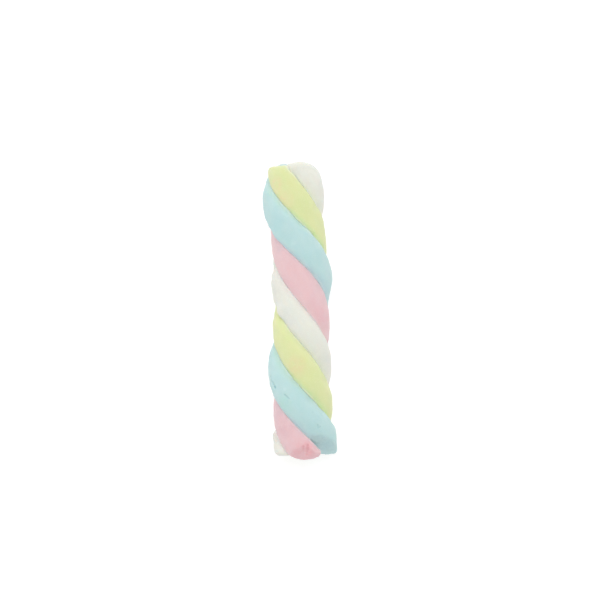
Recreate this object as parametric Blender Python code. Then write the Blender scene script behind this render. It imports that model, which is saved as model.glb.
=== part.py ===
"""A marshmallow twist: four soft strands, white, yellow, blue and pink, laid side by side
round one axis, twisted left-handed and cut to length.

The stick lies on the table along +Y. Its underside is pressed flat where it rests on z = 0.
"""

from collections import namedtuple
from math import atan2, cos, exp, pi, radians, sin

import bmesh
import bpy
from mathutils import Vector

MM = 0.001

# The whole stick
HALF_LENGTH = 57.0 * MM
TURN_LENGTH = 65.3 * MM         # length of stick in which the strands go round once
START_BEARING = radians(162.2)  # bearing of the white and yellow seam at mid length
TWIST_BIAS = radians(2.9)       # how far the twist runs ahead at both ends alike
TWIST_DRIFT = radians(5.0)      # how much tighter it is wound towards the ends
AXIS_HEIGHT = 11.0 * MM         # of the stick's axis over the table
SWAY = 1.4 * MM                 # sideways bow of the axis, twice along the stick
HUMP = 0.8 * MM                 # upward bow where the thick blue strand passes below
HUMP_LEVEL = -5.4 * MM
HUMP_REACH = 13.5 * MM

# The strands' sections
STRAND_OFFSET = 5.5 * MM        # from the stick's axis to the middle of a strand
TAPER = 0.09                    # the strands stand prouder by this share at the lower end
CORNER_POWER = 8                # the higher, the tighter a section's corners
SEAM_GAP = 0.3 * MM             # kept between neighbouring strands

# How finely the solids are faceted
RING_POINTS = 20
TWIST_STEP = radians(12.5)
RIM_STEPS = 3

# The slanted cut across the lower end of the blue strand, about the stick's axis
SLANT_POINT = Vector((0.0, -54.6 * MM, 0.0))
SLANT_NORMAL = Vector((0.10, -1.0, 0.69))

Strand = namedtuple("Strand", "name share depth width top top_rim bottom bottom_rim colour")

# share: part of the turn in degrees. depth and width: half sizes of the outer curve.
# top and bottom: levels of the cut ends along the stick, each with the radius of its rim.
STRANDS = (
    Strand("white_strand", 82.6, 5.9 * MM, 6.7 * MM, 56.6 * MM, 3.0 * MM, -55.7 * MM,
           2.0 * MM, (0.80, 0.81, 0.73)),
    Strand("yellow_strand", 91.8, 6.0 * MM, 6.7 * MM, 55.6 * MM, 1.5 * MM, -55.2 * MM,
           2.0 * MM, (0.75, 0.79, 0.44)),
    Strand("blue_strand", 88.8, 7.0 * MM, 8.4 * MM, 56.2 * MM, 2.0 * MM, -55.8 * MM,
           1.2 * MM, (0.52, 0.73, 0.73)),
    Strand("pink_strand", 96.8, 4.9 * MM, 6.7 * MM, 52.5 * MM, 2.0 * MM, -57.1 * MM,
           4.5 * MM, (0.81, 0.57, 0.60)),
)


def remove_everything():
    for item in list(bpy.data.objects):
        bpy.data.objects.remove(item, do_unlink=True)


def new_collection(name):
    collection = bpy.data.collections.new(name)
    bpy.context.scene.collection.children.link(collection)
    return collection


def marshmallow_material(name, colour):
    material = bpy.data.materials.new(name)
    material.use_nodes = True
    shader = material.node_tree.nodes["Principled BSDF"]
    shader.inputs["Base Color"].default_value = (*colour, 1.0)
    shader.inputs["Roughness"].default_value = 0.85
    shader.inputs["Metallic"].default_value = 0.0
    return material


def axis_point(level):
    """The stick's axis at a level along it, as it sways to the side and over the hump."""
    along = level / HALF_LENGTH
    aside = -SWAY * 4.0 * along ** 2 * (1.0 - along ** 2)
    rise = HUMP * exp(-((level - HUMP_LEVEL) / HUMP_REACH) ** 2)
    return Vector((aside, level, rise))


def twist(level):
    """Bearing of the white and yellow seam at a level, from +X towards +Z."""
    along = level / HALF_LENGTH
    uneven = TWIST_BIAS * along ** 2 + TWIST_DRIFT * along ** 3
    return START_BEARING + 2.0 * pi * level / TURN_LENGTH + uneven


def middle_bearing(index):
    """Bearing of a strand's middle from the white and yellow seam, which white lies before."""
    own_half = STRANDS[index].share / 2.0
    if index == 0:
        return radians(-own_half)
    return radians(sum(strand.share for strand in STRANDS[1:index]) + own_half)


def section_radius(strand, bearing, along):
    """Radius of a strand's section about its own middle, 0 being straight out of the stick.

    Three walls bound it: the outer curve, and the two flat seams that meet at the axis.
    The power mean of the distances to them rounds the corners between the walls.
    """
    depth = strand.depth * (1.0 - TAPER * along)
    outer_curve = ((cos(bearing) / depth) ** 2 + (sin(bearing) / strand.width) ** 2) ** 0.5
    total = outer_curve ** CORNER_POWER
    half_share = radians(strand.share / 2.0)
    seam_distance = STRAND_OFFSET * sin(half_share) - SEAM_GAP / 2.0
    for side in (1.0, -1.0):
        facing = cos(bearing - side * (half_share + pi / 2.0))
        total += max(facing / seam_distance, 0.0) ** CORNER_POWER
    return total ** (-1.0 / CORNER_POWER)


def rim_stations(end, rim, inward):
    """Levels and insets round the rim of one cut end, from the cut face inwards."""
    turns = [pi / 2.0 * step / RIM_STEPS for step in range(RIM_STEPS)]
    return [(end + inward * rim * (1.0 - cos(turn)), rim * (1.0 - sin(turn))) for turn in turns]


def stations(strand):
    """Levels from the top end to the bottom end, each with the inset of the section there."""
    first = strand.top - strand.top_rim
    last = strand.bottom + strand.bottom_rim
    count = round((twist(first) - twist(last)) / TWIST_STEP)
    body = [(first + (last - first) * step / count, 0.0) for step in range(count + 1)]
    upper_rim = rim_stations(strand.top, strand.top_rim, -1.0)
    lower_rim = rim_stations(strand.bottom, strand.bottom_rim, 1.0)
    return upper_rim + body + lower_rim[::-1]


def skin_point(index, level, inset, bearing):
    """A point on a strand's skin, by its level and its bearing about the strand's middle."""
    outward = twist(level) + middle_bearing(index)
    radius = section_radius(STRANDS[index], bearing, level / HALF_LENGTH)
    radius *= 1.0 - inset / STRAND_OFFSET
    middle = Vector((cos(outward), 0.0, sin(outward))) * STRAND_OFFSET
    reach = Vector((cos(outward + bearing), 0.0, sin(outward + bearing))) * radius
    return axis_point(level) + middle + reach


def cut_flat(mesh, point, normal):
    """Cut away what lies beyond a plane, and close the cut."""
    geometry = mesh.verts[:] + mesh.edges[:] + mesh.faces[:]
    cut = bmesh.ops.bisect_plane(mesh, geom=geometry, plane_co=point, plane_no=normal,
                                 dist=0.001 * MM, clear_outer=True)
    rim = [item for item in cut["geom_cut"] if isinstance(item, bmesh.types.BMEdge)]
    bmesh.ops.holes_fill(mesh, edges=rim, sides=0)


def make_strand(index):
    """A round bar whose rings take the strand's section and are carried along the twist."""
    strand = STRANDS[index]
    steps = stations(strand)
    mesh = bmesh.new()
    bmesh.ops.create_cone(mesh, cap_ends=True, segments=RING_POINTS, radius1=1.0,
                          radius2=1.0, depth=1.0)
    long_edges = [edge for edge in mesh.edges if abs(edge.calc_length() - 1.0) < 1e-4]
    bmesh.ops.subdivide_edges(mesh, edges=long_edges, cuts=len(steps) - 2)
    for vertex in mesh.verts:
        level, inset = steps[round((vertex.co.z + 0.5) * (len(steps) - 1))]
        vertex.co = skin_point(index, level, inset, atan2(vertex.co.y, vertex.co.x))
    if strand.name == "blue_strand":
        cut_flat(mesh, SLANT_POINT, SLANT_NORMAL)
    cut_flat(mesh, Vector((0.0, 0.0, -AXIS_HEIGHT)), Vector((0.0, 0.0, -1.0)))
    bmesh.ops.triangulate(mesh, faces=mesh.faces[:])
    return mesh


def add_strands(collection):
    """Make the strands about the stick's axis, and lay them on the table over the origin."""
    shaped = [make_strand(index) for index in range(len(STRANDS))]
    points = [vertex.co for mesh in shaped for vertex in mesh.verts]
    middle_x = (min(p.x for p in points) + max(p.x for p in points)) / 2.0
    middle_y = (min(p.y for p in points) + max(p.y for p in points)) / 2.0
    axis = bpy.data.objects.new("stick_axis", None)
    axis.location = (-middle_x, -middle_y, AXIS_HEIGHT)
    collection.objects.link(axis)
    for strand, mesh in zip(STRANDS, shaped):
        data = bpy.data.meshes.new(strand.name)
        mesh.to_mesh(data)
        mesh.free()
        data.shade_smooth()
        data.set_sharp_from_angle(angle=radians(50))
        data.materials.append(marshmallow_material(strand.name, strand.colour))
        piece = bpy.data.objects.new(strand.name, data)
        piece.parent = axis
        collection.objects.link(piece)


remove_everything()
add_strands(new_collection("marshmallow_twist"))
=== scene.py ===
from math import cos, pi, radians, sin

import bmesh
import bpy
import numpy as np
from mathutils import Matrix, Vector


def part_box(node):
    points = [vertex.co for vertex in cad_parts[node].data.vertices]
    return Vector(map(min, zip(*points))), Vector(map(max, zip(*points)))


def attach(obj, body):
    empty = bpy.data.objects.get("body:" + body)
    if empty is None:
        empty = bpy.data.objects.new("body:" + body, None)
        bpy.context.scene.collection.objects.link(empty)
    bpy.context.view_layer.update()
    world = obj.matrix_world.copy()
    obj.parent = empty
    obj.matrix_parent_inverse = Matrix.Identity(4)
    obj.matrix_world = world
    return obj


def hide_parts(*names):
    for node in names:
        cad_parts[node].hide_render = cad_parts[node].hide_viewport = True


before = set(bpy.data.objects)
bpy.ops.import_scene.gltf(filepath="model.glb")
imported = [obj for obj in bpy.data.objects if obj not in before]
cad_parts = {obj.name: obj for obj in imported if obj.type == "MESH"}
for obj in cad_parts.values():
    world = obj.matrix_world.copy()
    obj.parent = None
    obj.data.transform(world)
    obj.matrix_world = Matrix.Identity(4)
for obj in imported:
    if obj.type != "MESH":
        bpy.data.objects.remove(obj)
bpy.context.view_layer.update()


# White strand
# A rope of whipped sugar and gelatine foam. It is piped with the other three, laid against them
# while it is warm, wound left-handed with them round the stick's axis and cut to length.

MM = 0.001
AXIS = Vector((0.506, 0.25, 11.0)) * MM     # of the stick, over the table at mid length
HALF_LENGTH = 57.0 * MM
TURN_LENGTH = 66.3 * MM         # length of stick in which the strands go round once
WHITE_BEARING = 121.7           # of the strand's middle at mid length, from +X towards +Z
SKIN_VOXEL = 0.295 * MM


def edit(piece):
    """Open this piece alone in edit mode."""
    bpy.ops.object.select_all(action="DESELECT")
    piece.select_set(True)
    bpy.context.view_layer.objects.active = piece
    bpy.ops.object.mode_set(mode="EDIT")


def select(piece, kind, chosen):
    """In edit mode, select only the faces, edges or corners that are chosen."""
    bpy.ops.mesh.select_mode(type=kind)
    bpy.ops.mesh.select_all(action="DESELECT")
    mesh = bmesh.from_edit_mesh(piece.data)
    for part in {"FACE": mesh.faces, "EDGE": mesh.edges, "VERT": mesh.verts}[kind]:
        part.select_set(chosen(part))
    mesh.select_flush_mode()
    bmesh.update_edit_mesh(piece.data)


def round_end(bar, end, rim, inward, middle):
    """Draw a cut face out to its level in rings that shrink round a quarter circle."""
    rings = 6
    level, size = end + inward * rim, 1.0
    select(bar, "FACE", lambda face: face.normal.y * inward < -0.9)
    for ring in range(1, rings + 1):
        turn = pi / 2.0 * ring / rings
        next_level = end + inward * rim * (1.0 - sin(turn))
        next_size = 1.0 - rim / middle * (1.0 - cos(turn))
        bpy.ops.mesh.extrude_region_move(
            TRANSFORM_OT_translate={"value": (0.0, next_level - level, 0.0)})
        bpy.ops.transform.resize(value=(next_size / size, 1.0, next_size / size),
                                 center_override=(0.0, next_level, middle))
        level, size = next_level, next_size


def piped_bar(name, node, middle, depth, width, seams, shoulders, low_rim, high_rim):
    """A straight oval bar along +Y over the stick's axis, cut to a wedge by its two seams."""
    overlap = 0.25 * MM
    low, high = (corner.y - AXIS.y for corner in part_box(node))
    length = high - high_rim - low - low_rim
    bpy.ops.object.select_all(action="DESELECT")
    bpy.ops.mesh.primitive_cylinder_add(
        vertices=96, radius=1.0, depth=length,
        location=(0.0, low + low_rim + length / 2.0, middle), rotation=(pi / 2.0, 0.0, 0.0))
    bar = bpy.context.object
    bar.name = name
    bar.scale = (width, depth, 1.0)
    bpy.ops.object.transform_apply(location=True, rotation=True, scale=True)
    edit(bar)
    select(bar, "VERT", lambda corner: corner.co.z < middle)
    bpy.ops.transform.resize(value=(1.0, 1.0, (middle + 0.5 * MM) / depth),
                             center_override=(0.0, 0.0, middle))
    for side, seam in zip((1.0, -1.0), seams):
        outward = (side * cos(radians(seam)), 0.0, -sin(radians(seam)))
        bpy.ops.mesh.select_all(action="SELECT")
        bpy.ops.mesh.bisect(plane_co=[overlap * part for part in outward], plane_no=outward,
                            use_fill=True, clear_outer=True)
    sharp = radians(25.0)
    for side, shoulder in zip((1.0, -1.0), shoulders):
        select(bar, "EDGE", lambda edge: edge.calc_length() > 0.9 * length
               and edge.calc_face_angle(0.0) > sharp
               and edge.verts[0].co.z > 1.0 * MM and edge.verts[0].co.x * side > 0.0)
        bpy.ops.mesh.bevel(offset=shoulder * MM, segments=5, affect="EDGES")
    round_end(bar, high, high_rim, -1.0, middle)
    round_end(bar, low, low_rim, 1.0, middle)
    select(bar, "EDGE", lambda edge: edge.calc_length() > 0.9 * length)
    bpy.ops.mesh.subdivide(number_cuts=100)
    bpy.ops.object.mode_set(mode="OBJECT")
    return bar


def apply_modifier(piece, kind, **settings):
    modifier = piece.modifiers.new(kind.lower(), kind)
    for setting, value in settings.items():
        setattr(modifier, setting, value)
    bpy.ops.object.select_all(action="DESELECT")
    piece.select_set(True)
    bpy.context.view_layer.objects.active = piece
    bpy.ops.object.modifier_apply(modifier=modifier.name)


def points_of(piece):
    points = np.empty(3 * len(piece.data.vertices), np.float32)
    piece.data.vertices.foreach_get("co", points)
    return points.reshape(-1, 3).astype(float)


def move_points(piece, points):
    piece.data.vertices.foreach_set("co", points.astype(np.float32).ravel())
    piece.data.update()


def axis_places(levels):
    """Where the stick's axis passes at these levels: it sways a little and humps over blue."""
    aside = np.polynomial.polynomial.polyval(levels / HALF_LENGTH, (0.2, -0.8, -5.3, 1.6, 4.6))
    rise = 0.8 * MM * np.exp(-((levels + 5.4 * MM) / (13.5 * MM)) ** 2)
    return AXIS.x + aside * MM, AXIS.z + rise


def uneven_twist(levels):
    """How far the twist runs ahead of an even one, in degrees: it is tighter at the ends."""
    along = levels / HALF_LENGTH
    return 1.5 * along ** 2 + 12.1 * along ** 3


def wind(bar, middle, bearing, taper):
    """Wind a straight bar round the stick's axis, and lay it on the table."""
    points = points_of(bar)
    proud = points[:, 2] > middle
    shrink = 1.0 - taper * points[:, 1] / HALF_LENGTH
    points[proud, 2] = middle + (points[proud, 2] - middle) * shrink[proud]
    move_points(bar, points)
    length = points[:, 1].max() - points[:, 1].min()
    apply_modifier(bar, "SIMPLE_DEFORM", deform_method="TWIST", deform_axis="Y",
                   angle=-2.0 * pi * length / TURN_LENGTH)
    points = points_of(bar)
    levels = points[:, 1].copy()
    turn = np.radians(bearing - 90.0 + uneven_twist(levels))
    place_x, place_z = axis_places(levels)
    x, z = points[:, 0].copy(), points[:, 2].copy()
    points[:, 0] = x * np.cos(turn) - z * np.sin(turn) + place_x
    points[:, 1] += AXIS.y
    points[:, 2] = x * np.sin(turn) + z * np.cos(turn) + place_z
    points[:, 2] = np.maximum(points[:, 2], 0.0)
    move_points(bar, points)


def pull(bar, *pulls):
    """Pull the skin nearest each place by so much, fading softly over the reach, all in mm."""
    points = points_of(bar)
    edit(bar)
    for place, by, reach in pulls:
        nearest = int(np.argmin(np.linalg.norm(points - np.array(place) * MM, axis=1)))
        select(bar, "VERT", lambda corner: corner.index == nearest)
        bpy.ops.transform.translate(
            value=[part * MM for part in by], use_proportional_edit=True,
            proportional_edit_falloff="SMOOTH", proportional_size=reach * MM)
    bpy.ops.object.mode_set(mode="OBJECT")


def skin(bar):
    """Turn the wound bar into one even skin and let its edges go soft."""
    apply_modifier(bar, "REMESH", mode="VOXEL", voxel_size=SKIN_VOXEL)
    apply_modifier(bar, "SMOOTH", factor=0.5, iterations=3)
    bpy.ops.object.shade_smooth()


def ramp(values, start, end):
    """From 0 at the start to 1 at the end, eased."""
    part = np.clip((values - start) / (end - start), 0.0, 1.0)
    return part * part * (3.0 - 2.0 * part)


def cut_faces(bar):
    """For each point, 1 on a cut face at an end of the stick and 0 on the piped skin."""
    normals = np.empty(3 * len(bar.data.vertices), np.float32)
    bar.data.vertices.foreach_get("normal", normals)
    levels = np.abs(points_of(bar)[:, 1] - AXIS.y)
    return ramp(np.abs(normals[1::3]), 0.5, 0.75) * ramp(levels, 44.0 * MM, 49.0 * MM)


def apply_where(bar, weights, kind, **settings):
    """Apply a modifier that acts only as far as each point's weight, from 0 to 1, lets it."""
    group = bar.vertex_groups.new(name="where")
    for tenth in range(1, 11):
        chosen = np.flatnonzero(np.round(weights * 10.0) == tenth)
        group.add(chosen.tolist(), tenth / 10.0, "REPLACE")
    apply_modifier(bar, kind, vertex_group=group.name, **settings)
    bar.vertex_groups.clear()


def soften(bar, far, start, end, passes):
    """Smooth the skin fully where it is nearer than the start and fade out to the end, in mm."""
    apply_where(bar, 1.0 - ramp(far, start * MM, end * MM), "SMOOTH", factor=0.5,
                iterations=passes)


def far_from(bar, place):
    """Each point's distance from a place in mm."""
    return np.linalg.norm(points_of(bar) - np.array(place) * MM, axis=1)


def swelling(name, size):
    """An uneven, cloud-like texture with lumps of this size."""
    texture = bpy.data.textures.new(name, "CLOUDS")
    texture.noise_scale = size
    texture.noise_depth = 1
    return texture


LUMPS = swelling("foam_lumps", 6.0 * MM)
PUCKERS = swelling("foam_puckers", 1.8 * MM)
PORES = swelling("cut_pores", 0.8 * MM)


def swell(bar):
    """Make the skin as uneven as risen foam is, and open the pores of the cut faces."""
    apply_modifier(bar, "DISPLACE", texture=LUMPS, texture_coords="LOCAL", strength=0.6 * MM)
    apply_modifier(bar, "DISPLACE", texture=PUCKERS, texture_coords="LOCAL", strength=0.12 * MM)
    apply_where(bar, cut_faces(bar), "DISPLACE", texture=PORES, texture_coords="LOCAL",
                strength=0.35 * MM)


def dent(bar, marks):
    """Press small marks into the skin towards the stick's axis: place, depth and reach in mm."""
    pulls = []
    for place, depth, reach in marks:
        inward = Vector((AXIS.x / MM - place[0], 0.0, AXIS.z / MM - place[2])).normalized()
        pulls.append((place, inward * depth, reach))
    pull(bar, *pulls)


def lay_down(bar):
    """Press the strand flat where it would go through the table."""
    points = points_of(bar)
    points[:, 2] = np.maximum(points[:, 2], 0.0)
    move_points(bar, points)


def save_reading(piece, name, values):
    """Keep one number for each point of the skin, for the material to read."""
    layer = piece.data.attributes.new(name, "FLOAT", "POINT")
    layer.data.foreach_set("value", values.astype(np.float32))


def read_skin(bar, bearing, seams):
    """Save where each point lies from seam to seam, -1 to 1, and whether it is on a cut."""
    points = points_of(bar)
    levels = points[:, 1] - AXIS.y
    place_x, place_z = axis_places(levels)
    found = np.degrees(np.arctan2(points[:, 2] - place_z, points[:, 0] - place_x))
    middle = bearing + 360.0 * levels / TURN_LENGTH + uneven_twist(levels)
    aside = (found - middle + 180.0) % 360.0 - 180.0
    save_reading(bar, "across", aside / np.where(aside < 0.0, seams[0], seams[1]))
    save_reading(bar, "cut", cut_faces(bar))


def add_node(tree, kind, inputs, **settings):
    """Add a node; an input is given a value or another node's output."""
    node = tree.nodes.new(kind)
    for setting, value in settings.items():
        setattr(node, setting, value)
    for socket, value in inputs.items():
        if isinstance(value, bpy.types.NodeSocket):
            tree.links.new(value, node.inputs[socket])
        else:
            node.inputs[socket].default_value = value
    return node


def add_noise(tree, place, size, detail):
    return add_node(tree, "ShaderNodeTexNoise",
                    {"Vector": place, "Scale": 1.0 / size, "Detail": detail}).outputs["Fac"]


def add_range(tree, value, start, end, low, high):
    return add_node(tree, "ShaderNodeMapRange",
                    {"Value": value, "From Min": start, "From Max": end, "To Min": low,
                     "To Max": high}, interpolation_type="SMOOTHSTEP").outputs["Result"]


def add_times(tree, one, other):
    return add_node(tree, "ShaderNodeMath", {0: one, 1: other}, operation="MULTIPLY").outputs[0]


def add_tint(tree, colour, tint, amount):
    """Mix the tint over the colour by the amount, a number or a node's output."""
    return add_node(tree, "ShaderNodeMix", {"Factor": amount, "A": colour, "B": (*tint, 1.0)},
                    data_type="RGBA").outputs["Result"]


def foam(name, base, mottle, powder, cut, low_seam, high_seam, stains_and_painted_shade):
    """Matt, softly translucent sugar foam with its own tints; some of its listed patches are painted
    shade.
    """
    material = bpy.data.materials.new(name)
    material.use_nodes = True
    tree = material.node_tree
    place = tree.nodes.new("ShaderNodeTexCoord").outputs["Object"]
    across = add_node(tree, "ShaderNodeAttribute", {}, attribute_name="across").outputs["Fac"]
    on_cut = add_node(tree, "ShaderNodeAttribute", {}, attribute_name="cut").outputs["Fac"]
    clouds = add_noise(tree, place, 9.0 * MM, 2.0)
    blotches = add_noise(tree, place, 2.2 * MM, 2.0)
    grain = add_noise(tree, place, 0.35 * MM, 1.0)

    colour = add_tint(tree, (*base, 1.0), mottle, add_range(tree, clouds, 0.4, 0.65, 0.0, 0.7))
    for side, (tint, start, amount) in ((-1.0, low_seam), (1.0, high_seam)):
        near_seam = add_range(tree, across, side * start, side * 1.05, 0.0, amount)
        uneven = add_range(tree, blotches, 0.3, 0.6, 0.5, 1.0)
        colour = add_tint(tree, colour, tint, add_times(tree, near_seam, uneven))
    colour = add_tint(tree, colour, cut, add_times(tree, on_cut, 0.8))
    # Listed patches: real stains, lighter patches, and painted shade where a flank or hollow turns
    # from the light.
    for centre, reach, tint, amount in stains_and_painted_shade:
        far = add_node(tree, "ShaderNodeVectorMath",
                       {0: place, 1: Vector(centre) * MM}, operation="DISTANCE").outputs["Value"]
        spread = add_range(tree, far, reach * MM, 0.2 * reach * MM, 0.0, amount)
        uneven = add_range(tree, blotches, 0.35, 0.6, 0.4, 1.0)
        colour = add_tint(tree, colour, tint, add_times(tree, spread, uneven))
    aside = add_node(tree, "ShaderNodeMath", {0: across}, operation="ABSOLUTE").outputs[0]
    colour = add_tint(tree, colour, powder, add_range(tree, aside, 0.9, 1.0, 0.0, 0.8))
    colour = add_tint(tree, colour, powder, add_range(tree, grain, 0.45, 0.75, 0.0, 0.25))

    relief = add_node(tree, "ShaderNodeMath", {0: blotches, 1: 0.5, 2: grain},
                      operation="MULTIPLY_ADD").outputs[0]
    bump = add_node(tree, "ShaderNodeBump",
                    {"Strength": 0.35, "Distance": 0.06 * MM, "Height": relief})
    shader = tree.nodes["Principled BSDF"]
    tree.links.new(colour, shader.inputs["Base Color"])
    tree.links.new(add_range(tree, grain, 0.3, 0.7, 0.82, 0.96), shader.inputs["Roughness"])
    tree.links.new(bump.outputs["Normal"], shader.inputs["Normal"])
    shader.inputs["Specular IOR Level"].default_value = 0.3
    shader.inputs["Subsurface Weight"].default_value = 0.8
    shader.inputs["Subsurface Radius"].default_value = (1.0, 0.85, 0.75)
    shader.inputs["Subsurface Scale"].default_value = 1.4 * MM
    return material


WHITE_SEAMS = (43.2, 41.0)      # degrees from the strand's middle, low bearing then high
white = piped_bar("white_foam_strand", "white_strand", 6.55 * MM, 4.63 * MM, 5.87 * MM,
                  WHITE_SEAMS, (0.1, 0.1), low_rim=3.0 * MM, high_rim=2.2 * MM)
wind(white, 6.55 * MM, WHITE_BEARING, -0.04)
pull(white,
     ((-10.5, 16.8, 11.0), (1.5, 0.0, 0.0), 6.0),
     ((-9.7, 17.9, 8.3), (1.0, 0.0, 0.0), 2.4),
     ((-10.0, 14.3, 9.5), (-0.7, 0.0, 0.0), 2.4),
     ((-9.8, 3.0, 13.0), (-0.5, 0.0, 0.0), 3.0),
     ((-8.3, -1.3, 18.0), (-1.0, 0.0, 0.0), 4.5),
     ((8.4, 39.0, 16.5), (-0.6, 0.0, 0.2), 3.5),
     ((9.3, -27.0, 17.0), (-0.7, 0.0, 0.3), 3.0),
     ((4.2, -3.3, 21.1), (-0.4, 0.0, -0.1), 3.5),
     ((0.1, 52.3, 20.9), (0.3, 0.0, -0.2), 3.0),
     ((8.7, 53.5, 17.0), (0.4, 0.0, 0.0), 3.0),
     ((7.8, 55.6, 18.6), (-0.2, -1.0, -0.1), 5.0),
     ((1.0, 56.0, 21.5), (0.0, 0.6, 0.0), 4.5),
     ((-2.4, 55.8, 20.3), (0.2, -0.2, 0.0), 2.5),
     ((-11.1, -47.3, 10.8), (-1.4, 0.0, 0.0), 4.0),
     ((-9.5, -54.8, 10.0), (1.1, 0.0, 0.0), 3.0))
skin(white)
soften(white, far_from(white, (9.3, 56.5, 17.5)), 1.5, 6.0, 90)
swell(white)
lay_down(white)
read_skin(white, WHITE_BEARING, WHITE_SEAMS)
white.data.materials.append(foam(
    "white_foam", base=(0.81, 0.82, 0.74), mottle=(0.79, 0.80, 0.73), powder=(0.93, 0.94, 0.90),
    cut=(0.82, 0.82, 0.76),
    low_seam=((0.84, 0.78, 0.74), 0.6, 0.5),
    high_seam=((0.81, 0.83, 0.66), 0.6, 0.5),
    # The grey patches on the flanks and at the lower end are painted shade; the pale one lightens the
    # top end.
    stains_and_painted_shade=(((-5.5, -2.5, 19.5), 9.0, (0.75, 0.77, 0.73), 0.5),
            ((-8.4, 10.9, 16.3), 9.0, (0.75, 0.76, 0.70), 0.7),
            ((4.3, 50.7, 20.9), 9.0, (0.86, 0.87, 0.79), 0.7),
            ((7.2, -19.1, 18.7), 8.0, (0.75, 0.76, 0.70), 0.5),
            ((-10.5, -48.5, 12.0), 7.0, (0.74, 0.73, 0.67), 0.6))))
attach(white, "root")
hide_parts("white_strand")


# Yellow strand
# The same foam, coloured lemon. Its edge against blue is tinted green, and a little peach from the
# pink batch shows in its skin.

YELLOW_BEARING = WHITE_BEARING + 87.2
YELLOW_SEAMS = (46.2, 42.7)
PEACH = (0.82, 0.74, 0.44)
yellow = piped_bar("yellow_foam_strand", "yellow_strand", 6.94 * MM, 4.61 * MM, 6.53 * MM,
                   YELLOW_SEAMS, (0.1, 0.2), low_rim=2.0 * MM, high_rim=1.5 * MM)
wind(yellow, 6.94 * MM, YELLOW_BEARING, 0.12)
pull(yellow,
     ((-10.5, 0.8, 11.0), (1.0, 0.0, 0.0), 7.0),
     ((2.0, -29.8, 21.4), (-0.8, 0.0, 0.7), 5.0),
     ((0.8, 34.2, 20.3), (-0.5, 0.0, 0.3), 4.5),
     ((7.6, 39.6, 17.5), (-0.6, 0.0, -0.2), 3.5),
     ((-1.1, 52.4, 20.2), (0.4, 0.0, 0.2), 3.0),
     ((-6.5, 55.3, 19.5), (0.0, 0.3, 0.0), 5.0),
     ((-7.6, -3.0, 16.8), (-0.1, 0.0, -0.5), 3.0),
     ((-2.4, -26.5, 20.8), (-0.4, 0.0, 0.1), 2.5),
     ((3.0, -33.0, 20.5), (-0.6, 0.0, 0.2), 3.0),
     ((8.9, -27.0, 17.5), (-0.7, 0.0, -0.2), 3.0))
skin(yellow)
swell(yellow)
lay_down(yellow)
read_skin(yellow, YELLOW_BEARING, YELLOW_SEAMS)
yellow.data.materials.append(foam(
    "yellow_foam", base=(0.76, 0.80, 0.44), mottle=(0.73, 0.79, 0.42), powder=(0.86, 0.89, 0.66),
    cut=(0.75, 0.79, 0.49),
    low_seam=((0.76, 0.80, 0.55), 0.7, 0.4),
    high_seam=((0.60, 0.79, 0.42), 0.6, 0.7),
    stains_and_painted_shade=(((-8.0, 48.5, 19.0), 5.0, PEACH, 0.8),
            ((-5.1, 42.5, 20.9), 5.5, PEACH, 0.7),
            ((-2.4, -20.6, 22.6), 6.0, PEACH, 0.7))))
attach(yellow, "root")
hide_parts("yellow_strand")


# Blue strand
# The thickest rope, pale blue. It stands proud of its neighbours, the knife cut its lower end at
# a slant, and handling left a row of wrinkles, a scratch and a few pits in its skin. Painted shade
# darkens the marks and the slanted cut.

def crease(start, end, depth, reach):
    """Marks side by side from one place to the other, all in mm, close enough to make a line."""
    start, end = Vector(start), Vector(end)
    count = round((end - start).length / (0.7 * reach)) + 1
    return [(tuple(start.lerp(end, step / (count - 1))), depth, reach) for step in range(count)]


def slant_cut(bar, level, outward):
    """Slice the strand's end off along a slanted plane that meets the axis at this level."""
    place = AXIS + Vector((0.0, level, 0.0))
    apply_modifier(bar, "REMESH", mode="VOXEL", voxel_size=SKIN_VOXEL)
    edit(bar)
    bpy.ops.mesh.select_all(action="SELECT")
    bpy.ops.mesh.bisect(plane_co=place, plane_no=outward, use_fill=True, clear_outer=True)
    bpy.ops.object.mode_set(mode="OBJECT")
    return lambda: np.abs((points_of(bar) - np.array(place)) @ Vector(outward).normalized())


BLUE_BEARING = WHITE_BEARING + 176.8
BLUE_SEAMS = (46.9, 46.8)
blue = piped_bar("blue_foam_strand", "blue_strand", 7.66 * MM, 5.12 * MM, 7.21 * MM,
                 BLUE_SEAMS, (0.2, 0.5), low_rim=1.2 * MM, high_rim=2.0 * MM)
wind(blue, 7.66 * MM, BLUE_BEARING, 0.217)
pull(blue,
     ((11.5, 4.3, 11.0), (-1.6, 0.0, 0.0), 10.0),
     ((11.5, -45.3, 11.0), (1.3, 0.0, 0.0), 7.0),
     ((-10.5, 43.3, 11.0), (-0.6, 0.0, 0.0), 8.0),
     ((9.8, -40.5, 15.5), (1.0, 0.0, 0.5), 4.0),
     ((12.4, -43.2, 12.0), (0.5, 0.0, 0.0), 3.0),
     ((-11.0, 48.3, 11.0), (0.6, 0.0, 0.0), 4.0),
     ((-7.9, 28.3, 19.0), (-0.7, 0.0, 0.2), 3.5),
     ((-1.3, 36.7, 21.0), (-0.5, 0.0, -0.3), 2.5),
     ((1.9, 32.5, 21.5), (-0.35, 0.0, -0.2), 4.0),
     ((-3.0, -26.5, 21.0), (-0.5, 0.0, -0.2), 2.5),
     ((2.9, -33.3, 21.5), (-0.6, 0.0, -0.3), 3.0),
     ((8.3, -39.6, 18.2), (0.5, 0.0, 0.1), 3.0))
far_from_slant = slant_cut(blue, -55.4 * MM, (0.10, -1.0, 0.69))
skin(blue)
soften(blue, far_from_slant(), 0.5, 3.0, 60)
pull(blue, ((-4.5, 56.7, 4.6), (0.0, 1.05, 0.0), 3.6))
swell(blue)
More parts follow.
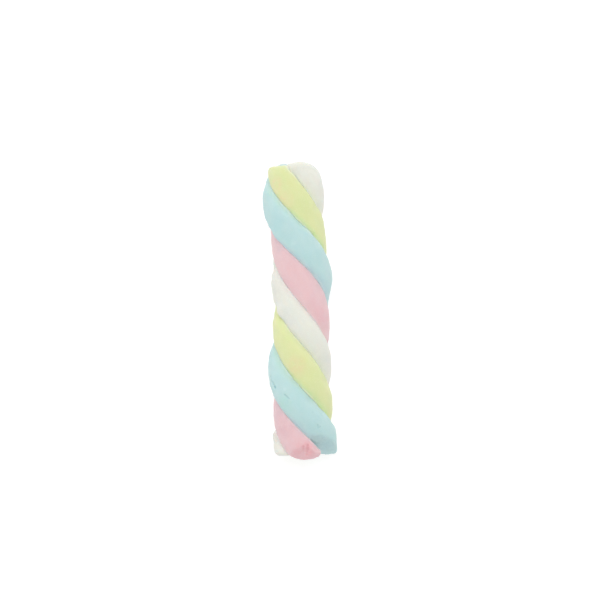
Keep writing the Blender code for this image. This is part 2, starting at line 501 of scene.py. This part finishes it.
BLUE_MARKS = (
    *crease((-12.1, -24.5, 16.1), (-11.8, -26.6, 17.2), 0.3, 0.6),
    *crease((-11.8, -26.6, 17.2), (-10.5, -29.0, 19.3), 0.4, 0.7),
    ((-11.4, -27.1, 18.0), 0.4, 0.9), ((-10.6, -28.9, 19.2), 0.5, 0.9),
    *crease((-6.9, -31.6, 22.4), (-5.1, -33.3, 23.3), 0.25, 0.5),
    *crease((5.3, -43.5, 22.8), (5.5, -44.8, 22.6), 0.2, 0.5),
    ((6.2, -44.3, 22.2), 0.25, 0.5), ((3.5, -38.7, 23.5), 0.25, 0.5))
dent(blue, BLUE_MARKS)
lay_down(blue)
read_skin(blue, BLUE_BEARING, BLUE_SEAMS)
blue.data.materials.append(foam(
    "blue_foam", base=(0.54, 0.74, 0.74), mottle=(0.50, 0.72, 0.72), powder=(0.68, 0.82, 0.82),
    cut=(0.52, 0.72, 0.73),
    low_seam=((0.55, 0.75, 0.64), 0.65, 0.5),
    high_seam=((0.52, 0.68, 0.76), 0.6, 0.6),
    stains_and_painted_shade=(((-8.5, 33.1, 20.3), 6.0, (0.48, 0.72, 0.73), 0.5),
            ((-2.7, 31.7, 23.0), 5.0, (0.58, 0.75, 0.75), 0.6),
            ((-1.8, 26.3, 23.1), 1.6, (0.68, 0.82, 0.83), 0.35),
            ((-7.1, -35.4, 22.4), 5.0, (0.48, 0.75, 0.68), 0.7),
            ((-6.7, -29.5, 22.4), 1.0, (0.74, 0.86, 0.86), 0.5),
            ((-4.5, 57.4, 4.6), 5.0, (0.73, 0.76, 0.745), 0.8),
            # Painted shade on the slanted cut at the lower end.
            ((8.0, -53.0, 14.0), 7.0, (0.44, 0.64, 0.68), 0.5),
            # Painted shadow in the wrinkles, the scratch and the pits.
            *((place, 1.1 * reach, (0.36, 0.60, 0.62), 0.4) for place, depth, reach in BLUE_MARKS))))
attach(blue, "root")
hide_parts("blue_strand")


# Pink strand
# The flattest rope. At the lower end it sprang out past the others once it was cut, and its cut
# end drew in as it dried: it is rounded, puckered by two small creases, and redder there. Painted
# shade darkens its two creases and its flank on the -X side.

PINK_BEARING = WHITE_BEARING + 262.2
PINK_SEAMS = (38.6, 54.6)
ROSE = (0.82, 0.50, 0.54)
pink = piped_bar("pink_foam_strand", "pink_strand", 4.86 * MM, 5.50 * MM, 6.96 * MM,
                 PINK_SEAMS, (0.5, 0.1), low_rim=2.5 * MM, high_rim=2.0 * MM)
wind(pink, 4.86 * MM, PINK_BEARING, 0.158)
pull(pink,
     ((-9.9, 28.5, 14.0), (0.7, 0.0, 0.0), 6.0),
     ((3.4, 15.5, 20.1), (0.3, 0.0, 0.15), 4.0),
     ((7.7, 8.5, 18.3), (-0.4, 0.0, -0.1), 3.0),
     ((6.9, -55.5, 18.0), (-0.3, 1.2, 0.0), 3.5))
far_from_slant = slant_cut(pink, -63.4 * MM, (0.05, -1.0, 1.2))
skin(pink)
soften(pink, far_from_slant(), 1.0, 4.0, 50)
pull(pink, ((4.9, -56.2, 17.3), (-0.2, 0.9, 0.0), 3.0), ((-0.4, -56.7, 17.4), (0.0, -0.25, 0.0), 3.0))
swell(pink)
PINK_CREASES = (
    ((1.3, -51.5, 21.5), 0.5, 0.9), ((1.2, -52.4, 21.2), 0.6, 0.9),
    ((1.2, -53.3, 20.8), 0.7, 0.9), ((1.1, -54.2, 20.2), 0.7, 0.9),
    ((1.1, -55.1, 19.6), 0.6, 0.9), ((-0.4, -51.9, 21.6), 0.4, 0.8),
    ((-0.4, -52.8, 21.2), 0.5, 0.8), ((-0.5, -53.7, 20.6), 0.4, 0.8))
dent(pink, (((0.6, -53.2, 21.4), 0.4, 3.5), *PINK_CREASES))
lay_down(pink)
read_skin(pink, PINK_BEARING, PINK_SEAMS)
pink.data.materials.append(foam(
    "pink_foam", base=(0.83, 0.59, 0.61), mottle=(0.81, 0.56, 0.59), powder=(0.90, 0.74, 0.75),
    cut=(0.84, 0.53, 0.57),
    low_seam=((0.80, 0.60, 0.64), 0.6, 0.5),
    high_seam=((0.84, 0.62, 0.62), 0.6, 0.5),
    stains_and_painted_shade=(((9.6, -1.9, 16.8), 7.0, ROSE, 0.6),
            # Painted shade: these three patches darken the flank on the -X side.
            ((-7.6, 25.5, 17.8), 5.5, (0.74, 0.555, 0.59), 0.9),
            ((-9.1, -37.1, 16.9), 5.5, (0.72, 0.54, 0.575), 0.8),
            ((-7.6, -44.5, 18.5), 7.0, (0.76, 0.52, 0.555), 0.7),
            ((0.6, -53.5, 21.0), 7.0, (0.86, 0.48, 0.51), 0.7),
            # Dark red in the end's two creases: partly the redder foam there, partly painted shade.
            *((place, 1.1 * reach, (0.74, 0.36, 0.40), 0.7)
              for place, depth, reach in PINK_CREASES))))
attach(pink, "root")
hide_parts("pink_strand")


# Table
bpy.ops.object.select_all(action="DESELECT")
bpy.ops.mesh.primitive_plane_add(size=8.0, location=(0.0, 0.0, 0.0))
table = bpy.context.object
table.name = "table"
pale = bpy.data.materials.new("pale_table")
pale.use_nodes = True
pale_shader = pale.node_tree.nodes["Principled BSDF"]
pale_shader.inputs["Base Color"].default_value = (0.38, 0.38, 0.38, 1.0)
pale_shader.inputs["Roughness"].default_value = 0.8
pale_shader.inputs["Emission Color"].default_value = (1.0, 1.0, 1.0, 1.0)
pale_shader.inputs["Emission Strength"].default_value = 0.72
table.data.materials.append(pale)


# Light
world = bpy.data.worlds.new("studio")
world.use_nodes = True
nodes, links = world.node_tree.nodes, world.node_tree.links
direction = nodes.new("ShaderNodeTexCoord")
parts = nodes.new("ShaderNodeSeparateXYZ")
links.new(direction.outputs["Generated"], parts.inputs["Vector"])
fade = nodes.new("ShaderNodeMapRange")
fade.inputs["From Min"].default_value = 0.0
fade.inputs["From Max"].default_value = 0.35
fade.inputs["To Min"].default_value = 0.95
fade.inputs["To Max"].default_value = 0.55
links.new(parts.outputs["Z"], fade.inputs["Value"])
links.new(fade.outputs["Result"], nodes["Background"].inputs["Strength"])
nodes["Background"].inputs["Color"].default_value = (1.0, 1.0, 1.0, 1.0)
bpy.context.scene.world = world

softbox_place = Vector((-0.05, 0.45, 1.3))
bpy.ops.object.light_add(type="AREA", location=softbox_place,
                         rotation=softbox_place.to_track_quat("Z", "Y").to_euler())
softbox = bpy.context.object
softbox.name = "softbox"
softbox.data.shape = "RECTANGLE"
softbox.data.size = 1.0
softbox.data.size_y = 0.8
softbox.data.energy = 9.5


# Camera
bpy.ops.object.camera_add(location=(0.05 * MM, 4.32 * MM, 1.111),
                          rotation=(0.0, 0.0, -radians(1.75)))
camera = bpy.context.object
camera.data.lens = 171.0
camera.data.clip_end = 20.0
bpy.context.scene.camera = camera
bpy.context.scene.view_settings.view_transform = "Standard"
